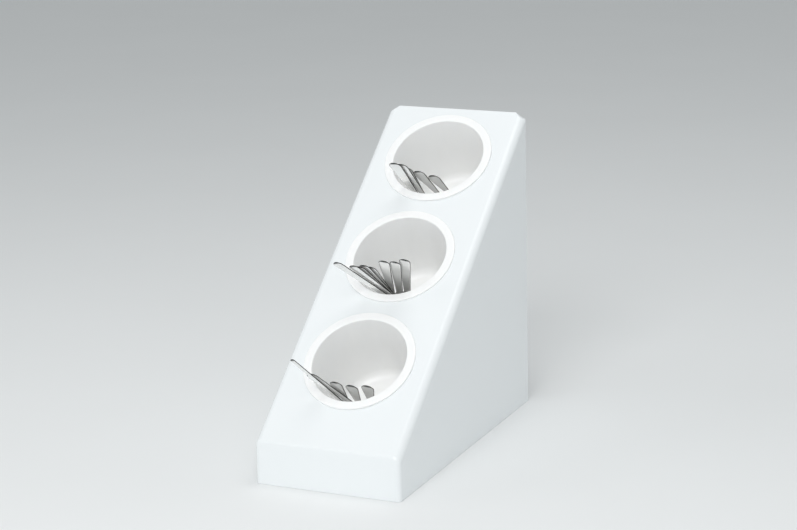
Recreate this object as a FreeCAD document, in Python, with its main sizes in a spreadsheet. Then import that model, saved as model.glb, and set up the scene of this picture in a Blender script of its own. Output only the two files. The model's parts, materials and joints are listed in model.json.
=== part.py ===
"""Countertop cutlery dispenser: a bent opal stand, three lift-out cups and the cutlery in them.

Millimetres, +Z up, the front faces -Y. The origin is the middle of the front lip's bottom edge.
"""
import FreeCAD, Part
import math
import os

import Sketcher

SHEET_NAME = "sizes"

# Driving dimensions: alias, value in millimetres and what it is
DRIVING_SIZES = [
    ("stand_width", 200.0, "outside width over the two side panels"),
    ("stand_depth", 434.0, "front face of the lip to the open back"),
    ("stand_height", 407.0, "table to the top edge of the sloped face"),
    ("lip_height", 57.0, "table to the fold between lip and face"),
    ("stand_gauge", 6.0, "thickness of the bent opal sheet"),
    ("side_bend", 10.0, "outer radius of the bends along the two slanted edges"),
    ("fold_bend", 6.5, "outer radius of the fold above the lip"),
    ("lip_gap", 0.6, "gap between the lip's ends and the side panels"),
    ("lip_gap_height", 40.0, "how far up that gap runs"),
    ("corner_cut_width", 14.0, "top corner relief, measured in from the side"),
    ("corner_cut_drop", 7.6, "top corner relief, measured down from the top edge"),
    ("corner_land", 3.0, "flat left on the side panel beside the relief"),
    ("low_cup_place", 134.0, "fold to the lowest cup's centre, along the face"),
    ("cup_pitch", 168.0, "centre to centre of the cups along the face"),
    ("mouth_radius", 63.0, "inside radius of a cup at its mouth"),
    ("floor_radius", 57.0, "inside radius of a cup at its floor"),
    ("cup_depth", 112.0, "rim to floor, inside"),
    ("cup_wall", 2.5, "wall and floor thickness of a cup"),
    ("cup_corner", 12.0, "inside radius between a cup's wall and floor"),
    ("flange_width", 11.5, "mouth to the outside of the flange"),
    ("flange_gauge", 3.0, "thickness of the flange that rests on the face"),
    ("flange_round", 1.2, "rounding of the flange's top edges"),
    ("hole_clearance", 1.0, "gap round a cup in its hole"),
    ("steel_gauge", 2.2, "thickness of the cutlery"),
    ("layer_gap", 0.3, "gap between one piece of cutlery and the next"),
    ("rest_gap", 0.3, "gap between the cutlery and the cup it leans in"),
    ("neck_width", 6.0, "narrowest width of a fork or spoon"),
    ("fork_handle_width", 18.0, "fork handle near its end"),
    ("fork_head_width", 21.0, "fork over its tines"),
    ("fork_head_length", 56.0, "fork tine tips to the neck"),
    ("tine_length", 36.0, "length of the slots between the tines"),
    ("tine_slot", 2.4, "width of the slots between the tines"),
    ("knife_handle_width", 15.0, "knife handle near its end"),
    ("blade_width", 16.0, "knife blade"),
    ("blade_length", 72.0, "knife tip to the shoulder"),
    ("blade_tip", 12.0, "length of the rounded part of the blade"),
    ("shoulder_width", 9.0, "knife between blade and handle"),
    ("spoon_handle_width", 17.0, "spoon handle near its end"),
    ("bowl_width", 28.0, "spoon bowl"),
    ("bowl_length", 44.0, "spoon bowl"),
    ("dish_depth", 1.2, "depth of the dish in the spoon bowl"),
    ("dish_rim", 2.0, "rim left round that dish"),
    ("slim_handle_width", 6.5, "handle of the long spoon"),
    ("slim_bowl_width", 20.0, "bowl of the long spoon"),
    ("fork_top_1_length", 167.0, "length of that fork"),
    ("fork_top_1_across", -26.0, "where it crosses the mouth, from the middle"),
    ("fork_top_2_length", 161.0, "length of that fork"),
    ("fork_top_2_across", -19.0, "where it crosses the mouth, from the middle"),
    ("fork_top_3_length", 149.0, "length of that fork"),
    ("fork_top_3_across", -20.0, "where it crosses the mouth, from the middle"),
    ("fork_top_4_length", 138.0, "length of that fork"),
    ("fork_top_4_across", -4.0, "where it crosses the mouth, from the middle"),
    ("fork_top_5_length", 125.0, "length of that fork"),
    ("fork_top_5_across", 10.0, "where it crosses the mouth, from the middle"),
    ("knife_middle_1_length", 199.0, "length of that knife"),
    ("knife_middle_1_across", -14.0, "where it crosses the mouth, from the middle"),
    ("knife_middle_2_length", 182.0, "length of that knife"),
    ("knife_middle_2_across", -7.0, "where it crosses the mouth, from the middle"),
    ("knife_middle_3_length", 172.0, "length of that knife"),
    ("knife_middle_3_across", -9.0, "where it crosses the mouth, from the middle"),
    ("knife_middle_4_length", 171.0, "length of that knife"),
    ("knife_middle_4_across", -8.0, "where it crosses the mouth, from the middle"),
    ("knife_middle_5_length", 162.0, "length of that knife"),
    ("knife_middle_5_across", -8.0, "where it crosses the mouth, from the middle"),
    ("knife_middle_6_length", 183.0, "length of that knife"),
    ("knife_middle_6_across", 0.0, "where it crosses the mouth, from the middle"),
    ("knife_middle_7_length", 180.0, "length of that knife"),
    ("knife_middle_7_across", 12.0, "where it crosses the mouth, from the middle"),
    ("knife_middle_8_length", 186.0, "length of that knife"),
    ("knife_middle_8_across", 23.0, "where it crosses the mouth, from the middle"),
    ("long_spoon_low_1_length", 195.0, "length of that long spoon"),
    ("long_spoon_low_1_across", -25.0, "where it crosses the mouth, from the middle"),
    ("spoon_low_2_length", 159.0, "length of that spoon"),
    ("spoon_low_2_across", -22.0, "where it crosses the mouth, from the middle"),
    ("spoon_low_3_length", 129.0, "length of that spoon"),
    ("spoon_low_3_across", -13.0, "where it crosses the mouth, from the middle"),
    ("spoon_low_4_length", 119.0, "length of that spoon"),
    ("spoon_low_4_across", 5.0, "where it crosses the mouth, from the middle"),
    ("spoon_low_5_length", 119.0, "length of that spoon"),
    ("spoon_low_5_across", 26.0, "where it crosses the mouth, from the middle"),
]

# Derived values, worked out by the sheet from the driving ones
DERIVED_SIZES = [
    ("face_tilt", "=atan((stand_height - lip_height) / stand_depth)", "slope of the face"),
]

# Cutlery in each cup, from the piece that lies on the wall up through the stack:
# node, kind and lean across per millimetre outwards
CUP_CONTENTS = {
    "top": [
        ("fork_top_1", "fork", -0.07),
        ("fork_top_2", "fork", -0.09),
        ("fork_top_3", "fork", -0.03),
        ("fork_top_4", "fork", -0.21),
        ("fork_top_5", "fork", -0.23),
    ],
    "middle": [
        ("knife_middle_1", "knife", -0.42),
        ("knife_middle_2", "knife", -0.31),
        ("knife_middle_3", "knife", -0.21),
        ("knife_middle_4", "knife", -0.12),
        ("knife_middle_5", "knife", -0.02),
        ("knife_middle_6", "knife", 0.26),
        ("knife_middle_7", "knife", 0.30),
        ("knife_middle_8", "knife", 0.33),
    ],
    "low": [
        ("long_spoon_low_1", "long_spoon", -0.28),
        ("spoon_low_2", "spoon", -0.48),
        ("spoon_low_3", "spoon", 0.05),
        ("spoon_low_4", "spoon", 0.13),
        ("spoon_low_5", "spoon", 0.23),
    ],
}
# How far each stack tips towards the lower wall per millimetre outwards
STACK_TIP = {"top": 0.16, "middle": 0.20, "low": 0.12}
CUP_ORDER = ["low", "middle", "top"]

# Shape of the cutlery outlines, as ratios of the sizes above
FORK_CHEEK = 1.2  # where a fork's head starts to narrow, in tine lengths
FORK_NECK_END = 1.3  # where the neck ends, in head lengths
KNIFE_SHOULDER = 1.06  # where the blade's shoulder ends, in blade lengths
BOWL_FULLNESS = 0.78  # half-way down a bowl's side, in half bowl widths
SPOON_NECK_END = 1.4  # where the neck ends, in bowl lengths

# How close a point has to lie, in millimetres, to count as being in a place
NEAR = 0.01

Vector = FreeCAD.Vector


class Size:
    """A length that knows both its value and the sheet expression that yields it."""

    def __init__(self, value, text):
        self.value = float(value)
        self.text = text

    def combined(self, other, sign):
        other = other if isinstance(other, Size) else Size(other, repr(float(other)))
        results = {
            "+": lambda: self.value + other.value,
            "-": lambda: self.value - other.value,
            "*": lambda: self.value * other.value,
            "/": lambda: self.value / other.value,
        }
        return Size(results[sign](), f"({self.text} {sign} {other.text})")

    def __add__(self, other):
        return self.combined(other, "+")

    def __sub__(self, other):
        return self.combined(other, "-")

    def __mul__(self, other):
        return self.combined(other, "*")

    def __truediv__(self, other):
        return self.combined(other, "/")

    def __neg__(self):
        return self * -1.0


ZERO = Size(0.0, "0")


def make_sheet(doc):
    """Fill the sheet and return every size in it by name."""
    sheet = doc.addObject("Spreadsheet::Sheet", SHEET_NAME)
    rows = [(name, str(value), note) for name, value, note in DRIVING_SIZES] + DERIVED_SIZES
    for row, (name, content, note) in enumerate(rows, start=1):
        sheet.set(f"A{row}", name)
        sheet.set(f"B{row}", content)
        sheet.setAlias(f"B{row}", name)
        sheet.set(f"C{row}", note)
    doc.recompute()
    found = {}
    for name, _, _ in rows:
        held = sheet.get(name)
        found[name] = Size(getattr(held, "Value", held), f"{SHEET_NAME}.{name}")
    return found


doc = FreeCAD.newDocument("cutlery_dispenser")
size = make_sheet(doc)


def values(*names):
    """The plain values of some sizes."""
    return [size[name].value for name in names]


# Helpers for sketches and features

def make_body(name):
    body = doc.addObject("PartDesign::Body", name)
    body.Label = name
    return body


def origin_plane(body, role):
    return next(item for item in body.Origin.OriginFeatures if item.Role == role)


def make_sketch(body, name, role):
    sketch = body.newObject("Sketcher::SketchObject", name)
    sketch.AttachmentSupport = [(origin_plane(body, role), "")]
    sketch.MapMode = "FlatFace"
    return sketch


def constrain(sketch, kind, *args):
    """Add one dimension whose last argument is a Size, and bind it to the sheet."""
    *where, length = args
    index = sketch.addConstraint(Sketcher.Constraint(kind, *where, length.value))
    sketch.setExpression(f"Constraints[{index}]", length.text)


def fix_point(sketch, edge, point, across, along):
    constrain(sketch, "DistanceX", -1, 1, edge, point, across)
    constrain(sketch, "DistanceY", -1, 1, edge, point, along)


def draw_outline(sketch, corners):
    """Draw a closed outline; a corner given as a triple ends in an arc with that bulge point."""
    count = len(corners)
    first = sketch.GeometryCount
    points = [Vector(corner[0].value, corner[1].value, 0) for corner in corners]
    for index, corner in enumerate(corners):
        start = points[index]
        end = points[(index + 1) % count]
        if len(corner) == 3:
            middle = Vector(corner[2][0].value, corner[2][1].value, 0)
            arc = Part.Arc(start, middle, end)
            sketch.addGeometry(arc, False)
        else:
            sketch.addGeometry(Part.LineSegment(start, end), False)
    ends = [joint_points(sketch.Geometry[first + index], points[index]) for index in range(count)]
    for index in range(count):
        following = (index + 1) % count
        sketch.addConstraint(Sketcher.Constraint(
            "Coincident", first + index, ends[index][1], first + following, ends[following][0]))
        fix_point(sketch, first + index, ends[index][0], *corners[index][:2])
    for index, corner in enumerate(corners):
        if len(corner) == 3:
            bulge = sketch.addGeometry(Part.Point(
                Vector(corner[2][0].value, corner[2][1].value, 0)), True)
            fix_point(sketch, bulge, 1, *corner[2])
            sketch.addConstraint(Sketcher.Constraint("PointOnObject", bulge, 1, first + index))


def joint_points(edge, start):
    """Which end of an edge, as a sketch numbers them, lies at the given start."""
    if edge.StartPoint.distanceToPoint(start) < edge.EndPoint.distanceToPoint(start):
        return 1, 2
    return 2, 1


def draw_circle(sketch, across, along, radius):
    centre = Vector(across.value, along.value, 0)
    index = sketch.addGeometry(Part.Circle(centre, Vector(0, 0, 1), radius.value), False)
    fix_point(sketch, index, 3, across, along)
    constrain(sketch, "Radius", index, radius)


def add_feature(body, kind, name, sketch, length=None, both_ways=False):
    feature = body.newObject(f"PartDesign::{kind}", name)
    feature.Profile = sketch
    if length is not None:
        feature.Length = length.value
        feature.setExpression("Length", length.text)
    if both_ways:
        feature.SideType = "Symmetric"
    doc.recompute()
    return feature


def add_cut(body, name, sketch, length, both_ways=False):
    """Cut a pocket, turning it round when it points away from the solid."""
    before = body.Shape.Volume
    pocket = add_feature(body, "Pocket", name, sketch, length, both_ways)
    if not both_ways and body.Shape.Volume > before - 1e-3:
        pocket.Reversed = True
        doc.recompute()
    if body.Shape.Volume > before - 1e-3:
        raise RuntimeError(f"{body.Name}: {name} cuts nothing")
    return pocket


def edge_names(shape, wanted):
    """Names of the edges for which wanted(edge) is true."""
    return [f"Edge{i}" for i, edge in enumerate(shape.Edges, start=1) if wanted(edge)]


def add_fillet(body, name, base, radius, wanted):
    names = edge_names(base.Shape, wanted)
    if not names:
        raise RuntimeError(f"{body.Name}: {name} finds no edge")
    fillet = body.newObject("PartDesign::Fillet", name)
    fillet.Base = (base, names)
    fillet.Radius = radius.value
    fillet.setExpression("Radius", radius.text)
    doc.recompute()
    return fillet


# Stand: one sheet with a sloped face, two side panels and a folded lip

def face_direction():
    """Unit vectors up the sloped face and out of it."""
    tilt = math.radians(size["face_tilt"].value)
    return Vector(0, math.cos(tilt), math.sin(tilt)), Vector(0, -math.sin(tilt), math.cos(tilt))


def slanted_at(half_width):
    """Test for straight edges that run up the slope at a given distance from the middle."""
    up_slope = face_direction()[0]

    def wanted(edge):
        first, last = edge.Vertexes[0].Point, edge.Vertexes[-1].Point
        run = last.sub(first)
        if run.Length < 1.0 or abs(abs(first.x) - half_width) > NEAR:
            return False
        return run.normalize().cross(up_slope).Length < 1e-6
    return wanted


def make_stand():
    gauge = size["stand_gauge"]
    front = -(gauge / 2)
    back = front + size["stand_depth"]
    width = size["stand_width"]
    half_width = width / 2
    inner_half = half_width - gauge
    body = make_body("stand")

    side_view = make_sketch(body, "side_view", "YZ_Plane")
    draw_outline(side_view, [
        (front, ZERO),
        (back, ZERO),
        (back, size["stand_height"]),
        (front, size["lip_height"]),
    ])
    add_feature(body, "Pad", "outer_form", side_view, width, both_ways=True)

    rise, run = size["stand_height"] - size["lip_height"], size["stand_depth"]
    slope = rise / run
    tilt = f"{SHEET_NAME}.face_tilt"
    sheet_drop = Size(gauge.value / math.cos(math.radians(size["face_tilt"].value)),
                      f"({gauge.text} / cos({tilt}))")
    inner_front = front + gauge
    past_back = back + gauge
    inner_fold_height = size["lip_height"] + gauge * slope - sheet_drop
    inner_back_height = size["stand_height"] + gauge * slope - sheet_drop
    hollow = make_sketch(body, "hollow_view", "YZ_Plane")
    draw_outline(hollow, [
        (inner_front, -gauge),
        (past_back, -gauge),
        (past_back, inner_back_height),
        (inner_front, inner_fold_height),
    ])
    add_cut(body, "hollow", hollow, inner_half * 2, both_ways=True)

    outer_bends = add_fillet(body, "side_bends", body.Tip, size["side_bend"],
                             slanted_at(half_width.value))
    inner_bends = add_fillet(body, "inner_side_bends", outer_bends, size["side_bend"] - gauge,
                             slanted_at(inner_half.value))
    add_fillet(body, "lip_fold", inner_bends, size["fold_bend"], is_fold)

    gaps = make_sketch(body, "lip_gap_view", "XZ_Plane")
    gap_outer = inner_half
    gap_inner = inner_half - size["lip_gap"]
    for low, high in ((gap_inner, gap_outer), (-gap_outer, -gap_inner)):
        draw_outline(gaps, [
            (low, -gauge),
            (high, -gauge),
            (high, size["lip_gap_height"]),
            (low, size["lip_gap_height"]),
        ])
    add_cut(body, "lip_gaps", gaps, gauge * 2, both_ways=True)

    corners = make_sketch(body, "corner_view", "XZ_Plane")
    top = size["stand_height"]
    land = top - size["corner_cut_drop"]
    for side in (1.0, -1.0):
        draw_outline(corners, [
            ((half_width - size["corner_cut_width"]) * side, top + gauge),
            ((half_width - size["corner_cut_width"]) * side, top),
            ((half_width - size["corner_land"]) * side, land),
            ((half_width + gauge) * side, land),
            ((half_width + gauge) * side, top + gauge),
        ])
    add_cut(body, "top_corner_reliefs", corners, (back + gauge) * 2, both_ways=True)

    holes = make_sketch(body, "hole_view", "XY_Plane")
    holes.AttachmentOffset = FreeCAD.Placement(
        Vector(0, front.value, size["lip_height"].value),
        FreeCAD.Rotation(Vector(1, 0, 0), size["face_tilt"].value))
    holes.setExpression("AttachmentOffset.Base.y", front.text)
    holes.setExpression("AttachmentOffset.Base.z", size["lip_height"].text)
    holes.setExpression("AttachmentOffset.Rotation.Angle", tilt)
    for cup in CUP_ORDER:
        draw_circle(holes, ZERO, cup_place(cup), flange_seat_radius() + size["hole_clearance"])
    add_cut(body, "cup_holes", holes, gauge * 4, both_ways=True)
    return body


def is_fold(edge):
    """True for the long outside edge between the lip and the face."""
    front = -size["stand_gauge"].value / 2
    lip = size["lip_height"].value
    flat = all(abs(v.Point.y - front) < NEAR and abs(v.Point.z - lip) < NEAR for v in edge.Vertexes)
    return flat and edge.Length > size["stand_width"].value / 2


# Cups: turned forms with a flange that rests on the face

def cup_place(cup):
    return size["low_cup_place"] + size["cup_pitch"] * CUP_ORDER.index(cup)


def flange_seat_radius():
    """Outside radius of a cup's wall just under its flange."""
    taper = (size["mouth_radius"] - size["floor_radius"]) / size["cup_depth"]
    return size["mouth_radius"] - taper * size["flange_gauge"] + size["cup_wall"]


def make_cup(cup):
    body = make_body(f"cup_{cup}")
    mouth, floor, depth = size["mouth_radius"], size["floor_radius"], size["cup_depth"]
    wall = size["cup_wall"]
    underside = -size["flange_gauge"]
    outer_flange = mouth + size["flange_width"]
    section = make_sketch(body, "section", "XZ_Plane")
    draw_outline(section, [
        (ZERO, -depth - wall),
        (floor + wall, -depth - wall),
        (flange_seat_radius(), underside),
        (outer_flange, underside),
        (outer_flange, ZERO),
        (mouth, ZERO),
        (floor, -depth),
        (ZERO, -depth),
    ])
    turned = body.newObject("PartDesign::Revolution", "turned_form")
    turned.Profile = section
    turned.ReferenceAxis = (section, ["V_Axis"])
    turned.Angle = 360.0
    doc.recompute()

    inner_corner = add_fillet(body, "inner_corner", turned, size["cup_corner"],
                              circle_at(floor.value, -depth.value))
    outer_corner = add_fillet(body, "outer_corner", inner_corner, size["cup_corner"] + wall,
                              circle_at(floor.value + wall.value, -depth.value - wall.value))
    add_fillet(body, "flange_rounding", outer_corner, size["flange_round"],
               circle_at(None, 0.0))

    half_gauge = size["stand_gauge"] / 2
    place = cup_place(cup).text
    flange = size["flange_gauge"].text
    tilt = size["face_tilt"].text
    up_slope, outward = face_direction()
    centre = Vector(0, -half_gauge.value, size["lip_height"].value)
    centre += up_slope * cup_place(cup).value + outward * size["flange_gauge"].value
    body.Placement = FreeCAD.Placement(
        centre, FreeCAD.Rotation(Vector(1, 0, 0), size["face_tilt"].value))
    body.setExpression("Placement.Base.y",
                       f"-{half_gauge.text} + {place} * cos({tilt}) - {flange} * sin({tilt})")
    body.setExpression("Placement.Base.z",
                       f"{size['lip_height'].text} + {place} * sin({tilt}) + {flange} * cos({tilt})")
    body.setExpression("Placement.Rotation.Angle", tilt)
    doc.recompute()
    return body


def circle_at(radius, height):
    """Test for a round edge about the cup's axis; any radius counts when none is given."""
    def wanted(edge):
        curve = edge.Curve
        if not isinstance(curve, Part.Circle) or abs(curve.Center.z - height) > NEAR:
            return False
        return radius is None or abs(curve.Radius - radius) < NEAR
    return wanted


# Cutlery outlines, drawn along X from the head's end at zero to the handle's end

def round_handle(length, half_width):
    """The two corners of a handle's rounded end, with the bulge of the arc between them."""
    shoulder = length - half_width
    return [
        (shoulder, -half_width, (length, ZERO)),
        (shoulder, half_width),
    ]


def fork_outline(length):
    head, neck = size["fork_head_width"] / 2, size["neck_width"] / 2
    root = size["fork_head_length"]
    return [
        (ZERO, -head),
        (size["tine_length"] * FORK_CHEEK, -head),
        (root, -neck),
        (root * FORK_NECK_END, -neck),
        *round_handle(length, size["fork_handle_width"] / 2),
        (root * FORK_NECK_END, neck),
        (root, neck),
        (size["tine_length"] * FORK_CHEEK, head),
        (ZERO, head),
    ]


def knife_outline(length):
    blade, shoulder = size["blade_width"] / 2, size["shoulder_width"] / 2
    tip = size["blade_tip"]
    return [
        (ZERO, blade / 2),
        (tip / 4, -(blade / 2)),
        (tip, -blade),
        (size["blade_length"], -blade),
        (size["blade_length"] * KNIFE_SHOULDER, -shoulder),
        *round_handle(length, size["knife_handle_width"] / 2),
        (size["blade_length"] * KNIFE_SHOULDER, shoulder),
        (size["blade_length"], blade),
        (ZERO, blade),
    ]


def bowl_outline(length, bowl_width, handle_width):
    """A bowl with a half-round end and sides that curve in to the neck."""
    bowl, neck = bowl_width / 2, size["neck_width"] / 2
    bowl_length = size["bowl_length"]
    side_bulge = ((bowl + bowl_length) / 2, bowl * BOWL_FULLNESS)
    neck_end = bowl_length * SPOON_NECK_END
    return [
        (bowl, bowl, (ZERO, ZERO)),
        (bowl, -bowl, (side_bulge[0], -side_bulge[1])),
        (bowl_length, -neck),
        (neck_end, -neck),
        *round_handle(length, handle_width / 2),
        (neck_end, neck),
        (bowl_length, neck, side_bulge),
    ]


def spoon_outline(length):
    return bowl_outline(length, size["bowl_width"], size["spoon_handle_width"])


def long_spoon_outline(length):
    return bowl_outline(length, size["slim_bowl_width"], size["slim_handle_width"])


OUTLINES = {
    "fork": fork_outline,
    "knife": knife_outline,
    "spoon": spoon_outline,
    "long_spoon": long_spoon_outline,
}
WIDEST = {
    "fork": "fork_head_width",
    "knife": "blade_width",
    "spoon": "bowl_width",
    "long_spoon": "slim_bowl_width",
}


def cut_tines(body):
    """Cut the three slots between a fork's four tines."""
    slots = make_sketch(body, "tine_slots", "XY_Plane")
    pitch = (size["fork_head_width"] + size["tine_slot"]) / 4
    half_slot = size["tine_slot"] / 2
    for step in (-1.0, 0.0, 1.0):
        middle = pitch * step
        draw_outline(slots, [
            (-size["tine_slot"], middle - half_slot),
            (size["tine_length"], middle - half_slot, (size["tine_length"] + half_slot, middle)),
            (size["tine_length"], middle + half_slot),
            (-size["tine_slot"], middle + half_slot),
        ])
    add_cut(body, "tines", slots, size["steel_gauge"] * 2, both_ways=True)


def cut_dish(body, bowl_width):
    """Sink the dish of a spoon's bowl into its upper side."""
    dish = make_sketch(body, "dish_view", "XY_Plane")
    half_gauge = size["steel_gauge"] / 2
    dish.AttachmentOffset = FreeCAD.Placement(Vector(0, 0, half_gauge.value), FreeCAD.Rotation())
    dish.setExpression("AttachmentOffset.Base.z", half_gauge.text)
    radius = bowl_width / 2 - size["dish_rim"]
    draw_circle(dish, bowl_width / 2, ZERO, radius)
    add_cut(body, "dish", dish, size["dish_depth"])


# Cutlery places, in the frame of the cup that holds it

def cavity_radius(height):
    """Inside radius of a cup at a height that is zero at the rim and negative inside."""
    mouth, floor, depth, corner = values("mouth_radius", "floor_radius", "cup_depth", "cup_corner")
    radius = mouth + (mouth - floor) * min(height, 0.0) / depth
    above_floor = depth + height
    if above_floor < corner:
        rise = corner - max(above_floor, 0.0)
        radius = min(radius, floor - corner + math.sqrt(corner ** 2 - rise ** 2))
    return radius


class Seat:
    """Where one piece of cutlery leans: its layer's plane, its line and how deep it stands."""

    def __init__(self, cup, layer, name, kind, lean, stack_foot):
        gauge, gap = values("steel_gauge", "layer_gap")
        tip = STACK_TIP[cup]
        self.along = Vector(lean, -tip, 1.0).normalize()
        self.normal = Vector(0.0, 1.0, tip).normalize()
        self.side = self.normal.cross(self.along)
        self.half_width = size[WIDEST[kind]].value / 2
        self.half_gauge = gauge / 2
        self.climb = layer * (gauge + gap) / self.normal.y
        self.crossing = Vector(size[f"{name}_across"].value, stack_foot + self.climb, 0.0)

    def corners(self, depth):
        """The four corners of the piece's section at a depth along it below the mouth."""
        middle = self.crossing - self.along * depth
        return [
            middle + self.side * (self.half_width * sign) + self.normal * (self.half_gauge * face)
            for sign in (-1, 1) for face in (-1, 1)
        ]

    def fits(self, depth):
        """True when the section at that depth is clear of the cup."""
        gap = size["rest_gap"].value
        floor = gap - size["cup_depth"].value
        return all(
            corner.z > floor and math.hypot(corner.x, corner.y) < cavity_radius(corner.z) - gap
            for corner in self.corners(depth))

    def reach(self):
        """The greatest depth that fits, found by halving."""
        low, high = 0.0, 2.0 * size["cup_depth"].value
        while high - low > 1e-4:
            middle = (low + high) / 2
            if self.fits(middle):
                low = middle
            else:
                high = middle
        return low


def stack_foot(cup):
    """Lowest place up the face at which every piece of a stack clears the rim of its cup."""
    rim = size["mouth_radius"].value - size["rest_gap"].value
    highest = -rim
    for layer, (name, kind, lean) in enumerate(CUP_CONTENTS[cup]):
        seat = Seat(cup, layer, name, kind, lean, 0.0)
        spread = abs(seat.crossing.x) + seat.half_width / seat.along.z
        wall = -math.sqrt(max(rim ** 2 - spread ** 2, 0.0))
        highest = max(highest, wall + seat.half_gauge / seat.normal.y - seat.climb)
    return highest


def make_cutlery(cup, cup_body):
    foot = stack_foot(cup)
    bodies = []
    for layer, (name, kind, lean) in enumerate(CUP_CONTENTS[cup]):
        body = make_body(name)
        outline = make_sketch(body, "outline", "XY_Plane")
        draw_outline(outline, OUTLINES[kind](size[f"{name}_length"]))
        add_feature(body, "Pad", "blank", outline, size["steel_gauge"], both_ways=True)
        if kind == "fork":
            cut_tines(body)
        if kind in ("spoon", "long_spoon"):
            cut_dish(body, size[WIDEST[kind]])
        seat = Seat(cup, layer, name, kind, lean, foot)
        head_end = seat.crossing - seat.along * seat.reach()
        turn = FreeCAD.Rotation(seat.along, seat.side, seat.normal, "XYZ")
        body.Placement = cup_body.Placement.multiply(FreeCAD.Placement(head_end, turn))
        bodies.append(body)
    return bodies


def check_and_write(bodies):
    """Stop on any failed feature or unsound shape, then write one file for each piece."""
    doc.recompute()
    for item in doc.Objects:
        if "Invalid" in item.State or "Error" in item.State:
            raise RuntimeError(f"{item.Name} failed: {item.State}")
    for body in bodies:
        shape = body.Shape
        if shape.isNull() or not shape.isValid() or len(shape.Solids) != 1:
            raise RuntimeError(f"{body.Label} is not one sound solid")
    os.makedirs("parts", exist_ok=True)
    for body in bodies:
        body.Shape.exportStep(f"parts/{body.Label}.step")
        box = body.Shape.BoundBox
        print(f"{body.Label:18s} volume {body.Shape.Volume:10.1f}  "
              f"x {box.XMin:7.1f} {box.XMax:7.1f}  y {box.YMin:7.1f} {box.YMax:7.1f}  "
              f"z {box.ZMin:7.1f} {box.ZMax:7.1f}")


bodies = [make_stand()]
for cup in CUP_ORDER:
    cup_body = make_cup(cup)
    bodies.append(cup_body)
    bodies.extend(make_cutlery(cup, cup_body))
check_and_write(bodies)
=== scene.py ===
"""Looks for the countertop cutlery dispenser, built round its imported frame.

Metres, +Z up, and the front faces -Y. The opal stand keeps the shape of its CAD node, with softer
edges. The cups and the cutlery are finer pieces that stand for theirs.
"""

import json
import logging
import math
from dataclasses import dataclass, field
from enum import Enum
from typing import Callable

import bmesh
import bpy
from mathutils import Matrix, Vector


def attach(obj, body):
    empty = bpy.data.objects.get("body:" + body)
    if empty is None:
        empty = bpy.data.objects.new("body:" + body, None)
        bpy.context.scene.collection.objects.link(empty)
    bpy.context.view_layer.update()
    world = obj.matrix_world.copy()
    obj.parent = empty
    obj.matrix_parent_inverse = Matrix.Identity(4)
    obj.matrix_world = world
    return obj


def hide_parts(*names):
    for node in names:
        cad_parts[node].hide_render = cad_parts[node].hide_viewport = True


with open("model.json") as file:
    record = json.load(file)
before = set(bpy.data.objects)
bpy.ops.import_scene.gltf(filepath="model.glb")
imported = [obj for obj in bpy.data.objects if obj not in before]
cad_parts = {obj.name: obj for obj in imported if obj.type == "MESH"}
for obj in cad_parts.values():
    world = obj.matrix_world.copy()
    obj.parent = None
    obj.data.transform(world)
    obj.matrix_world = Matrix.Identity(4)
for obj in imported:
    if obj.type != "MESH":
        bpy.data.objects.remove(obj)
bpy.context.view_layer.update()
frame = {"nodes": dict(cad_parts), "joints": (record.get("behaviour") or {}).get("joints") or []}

MM = 0.001
MERGE = 0.01 * MM
NOISE_SPAN = (0.1, 0.9)
UP_SLOPE = Vector((0.0, 0.77841, 0.62775))

log = logging.getLogger("dispenser")

Colour = tuple[float, float, float]
Point = tuple[float, float]
Rule = Callable[[float], float]


class Slot(Enum):
    """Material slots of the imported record."""

    SHEET = "opal_sheet"
    CUP = "cup_plastic"
    STEEL = "polished_steel"


class Kind(Enum):
    """Kinds of cutlery, named as their nodes are."""

    FORK = "fork"
    KNIFE = "knife"
    LONG_SPOON = "long_spoon"
    SPOON = "spoon"


# Finishes


@dataclass(frozen=True)
class Grain:
    """How fine a noise pattern is: its cells per metre and its number of finer layers."""

    scale: float
    detail: float = 3.0


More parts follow.
